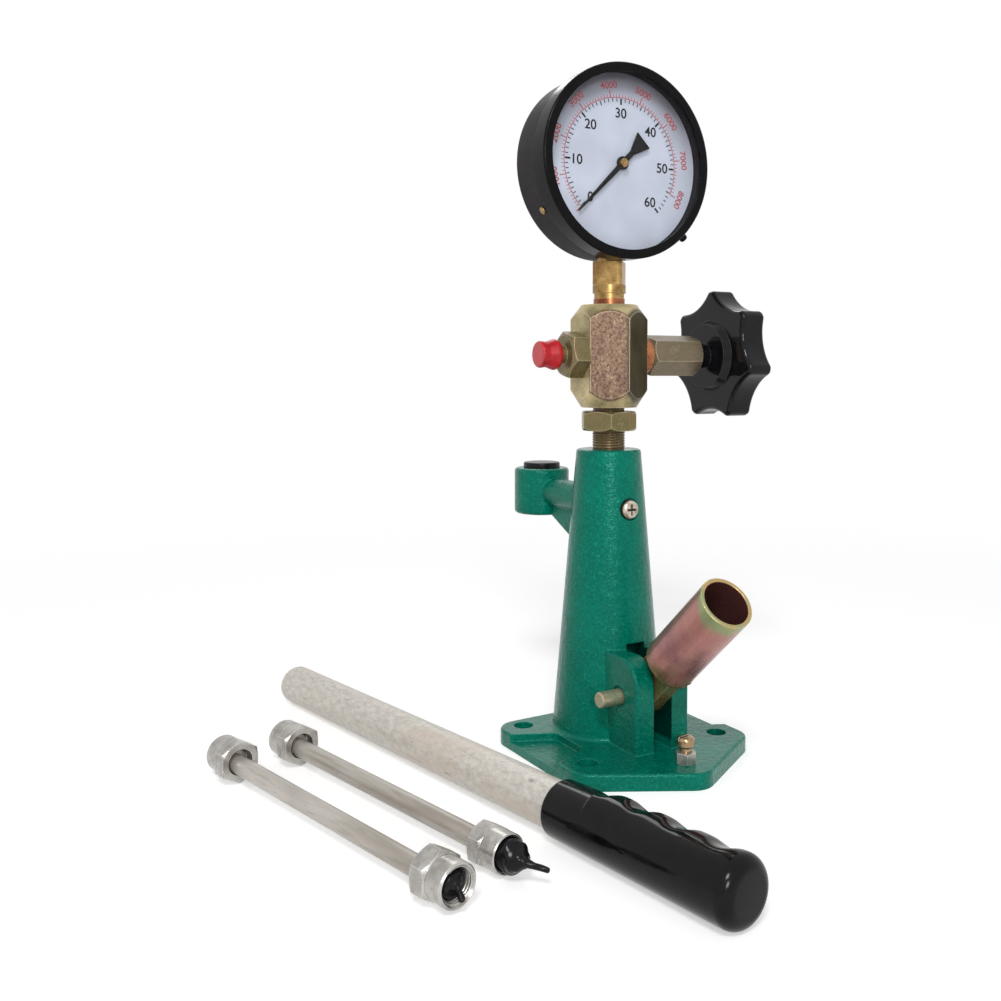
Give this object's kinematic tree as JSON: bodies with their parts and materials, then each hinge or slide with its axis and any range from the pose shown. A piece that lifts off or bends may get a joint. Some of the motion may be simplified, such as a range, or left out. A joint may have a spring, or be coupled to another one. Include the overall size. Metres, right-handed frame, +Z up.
{
  "type": "diesel injector tester",
  "caption": "Bench-top diesel injector tester: hand-lever plunger pump in a cast stand, valve block with shut-off handwheel, outlet and dial gauge, with pull-off handle and injector pipes.",
  "frame": {"origin": "on the pump axis at the underside of the base", "axes": "+Z up along the pump axis, -Y towards the lever and the dial's face, +X towards the handwheel"},
  "size_m": [0.2932, 0.358, 0.3707],
  "materials": {
    "green_enamel": "thick glossy green enamel over a rough casting",
    "rainbow_zinc": "iridescent yellow passivated zinc, pink to green-gold",
    "gold_zinc": "gold-brown passivated zinc",
    "olive_zinc": "olive passivated zinc with bright turned edges",
    "umber_zinc": "mottled grey-brown passivated zinc",
    "pale_zinc": "pale bright zinc plating",
    "hard_steel": "ground hardened steel",
    "spring_steel": "oiled spring steel",
    "copper": "soft copper",
    "brass": "turned and milled brass",
    "packing_felt": "greased packing rings",
    "case_black": "matt dark grey-black paint",
    "bezel_black": "glossy black paint",
    "dial_white": "white painted sheet with a printed scale",
    "pointer_black": "black painted sheet",
    "clear_glass": "flat clear glass",
    "wheel_black": "glossy black moulding",
    "red_rubber": "bright red rubber",
    "black_rubber": "black rubber",
    "galvanised": "speckled galvanised tube",
    "grip_dark": "dipped dark brown-black grip",
    "pipe_steel": "satin beige-grey steel tube"
  },
  "bodies": {
    "stand": {"stand_casting": "green_enamel", "oil_cup": "green_enamel", "base_plug": "hard_steel", "pivot_pin": "gold_zinc", "stop_screw": "gold_zinc", "stop_nut": "pale_zinc", "pump_barrel": "hard_steel", "locating_screw": "gold_zinc", "return_spring": "spring_steel", "valve_seat": "hard_steel", "seat_washer": "copper", "valve_holder": "olive_zinc", "delivery_spring": "spring_steel", "lock_nut": "olive_zinc", "valve_block": "olive_zinc", "outlet_union": "olive_zinc", "bonnet_washer": "copper", "bonnet": "umber_zinc", "packing": "packing_felt", "shank_washer": "copper", "gauge_shank": "brass", "gauge_case": "case_black", "case_screws": "hard_steel", "gauge_bezel": "bezel_black", "bezel_nub": "bezel_black", "gauge_glass": "clear_glass", "gauge_dial": "dial_white", "bourdon_tube": "brass", "movement_plates": "brass", "handle_tube": "galvanised", "handle_grip": "grip_dark", "front_pipe": "pipe_steel", "rear_pipe": "pipe_steel"},
    "lever": {"socket_tube": "rainbow_zinc", "lever_tongue": "gold_zinc", "lever_weld": "gold_zinc", "roller_pin": "hard_steel"},
    "roller": {"tappet_roller": "hard_steel"},
    "pump_plunger": {"tappet": "hard_steel", "plunger": "hard_steel"},
    "delivery_check": {"delivery_valve": "hard_steel"},
    "needle": {"needle_tip": "hard_steel"},
    "handwheel": {"spindle": "hard_steel", "star_wheel": "wheel_black", "wheel_nut": "pale_zinc"},
    "sector": {"sector_gear": "brass"},
    "hand": {"pinion_arbor": "brass", "pointer": "pointer_black"},
    "link": {"gauge_link": "brass"},
    "red_cap": {"outlet_cap": "red_rubber"},
    "oil_plug": {"cup_plug": "black_rubber"},
    "front_near_nut": {"front_pipe_near_nut": "pale_zinc"},
    "front_far_nut": {"front_pipe_far_nut": "pale_zinc"},
    "rear_near_nut": {"rear_pipe_near_nut": "pale_zinc"},
    "rear_far_nut": {"rear_pipe_far_nut": "pale_zinc"},
    "front_nut_plug": {"front_plug": "black_rubber"},
    "rear_nut_plug": {"rear_plug": "black_rubber"}
  },
  "joints": [
    {"name": "lever_swing", "type": "hinge", "parent": "stand", "child": "lever", "pos_m": [0, -0.0346, 0.0357], "axis": [1, 0, 0], "range_deg": [0, 41], "stiffness_Nm_per_rad": 1.8, "springref_deg": -17.19},
    {"name": "roller_spin", "type": "hinge", "parent": "lever", "child": "roller", "pos_m": [0, -0.00116, 0.0232], "axis": [1, 0, 0], "continuous": true},
    {"name": "tappet_slide", "type": "slide", "parent": "stand", "child": "pump_plunger", "axis": [0, 0, 1], "range_m": [0, 0.0252], "deforming": ["return_spring"]},
    {"name": "delivery_lift", "type": "slide", "parent": "stand", "child": "delivery_check", "axis": [0, 0, 1], "range_m": [0, 0.002], "stiffness_N_per_m": 400, "springref_m": -0.003, "deforming": ["delivery_spring"]},
    {"name": "needle_slide", "type": "slide", "parent": "stand", "child": "needle", "axis": [0.9988, -0.048, 0], "range_m": [0, 0.003]},
    {"name": "handwheel_turn", "type": "hinge", "parent": "needle", "child": "handwheel", "pos_m": [0, 0, 0.2155], "axis": [0.9988, -0.048, 0], "range_deg": [0, 720]},
    {"name": "sector_turn", "type": "hinge", "parent": "stand", "child": "sector", "pos_m": [0, 0, 0.2971], "axis": [-0.048, -0.9988, 0], "range_deg": [0, 33.75], "stiffness_Nm_per_rad": 0.02, "springref_deg": -17.19},
    {"name": "pointer_turn", "type": "hinge", "parent": "stand", "child": "hand", "pos_m": [0, 0, 0.3187], "axis": [0.048, 0.9988, 0], "range_deg": [0, 270]},
    {"name": "link_turn", "type": "hinge", "parent": "sector", "child": "link", "pos_m": [0.00263, -0.00013, 0.29149], "axis": [-0.048, -0.9988, 0], "range_deg": [-33.75, 0]},
    {"name": "cap_pull", "type": "slide", "parent": "stand", "child": "red_cap", "axis": [-0.9988, 0.048, 0], "range_m": [0, 0.02]},
    {"name": "oil_plug_lift", "type": "slide", "parent": "stand", "child": "oil_plug", "axis": [0, 0, 1], "range_m": [0, 0.025]},
    {"name": "front_near_nut_turn", "type": "hinge", "parent": "stand", "child": "front_near_nut", "pos_m": [-0.1605, -0.1092, 0.01097], "axis": [0.2113, -0.9774, 0], "continuous": true},
    {"name": "front_far_nut_turn", "type": "hinge", "parent": "stand", "child": "front_far_nut", "pos_m": [-0.19328, 0.0424, 0.01097], "axis": [-0.2113, 0.9774, 0], "continuous": true},
    {"name": "rear_near_nut_turn", "type": "hinge", "parent": "stand", "child": "rear_near_nut", "pos_m": [-0.1298, -0.0959, 0.0097], "axis": [0.2045, -0.9789, 0], "continuous": true},
    {"name": "rear_far_nut_turn", "type": "hinge", "parent": "stand", "child": "rear_far_nut", "pos_m": [-0.15996, 0.04848, 0.01097], "axis": [-0.2045, 0.9789, 0], "continuous": true},
    {"name": "front_plug_pull", "type": "slide", "parent": "front_near_nut", "child": "front_nut_plug", "axis": [0.2113, -0.9774, 0], "range_m": [0, 0.015]},
    {"name": "rear_plug_pull", "type": "slide", "parent": "rear_near_nut", "child": "rear_nut_plug", "axis": [0.2045, -0.9789, 0], "range_m": [0, 0.015]}
  ],
  "couplings": [
    {"joint": "tappet_slide", "follows": "lever_swing", "m_per_rad": 0.034943},
    {"joint": "needle_slide", "follows": "handwheel_turn", "m_per_rad": 0.00023873},
    {"joint": "pointer_turn", "follows": "sector_turn", "ratio": 8},
    {"joint": "link_turn", "follows": "sector_turn", "ratio": -1}
  ]
}
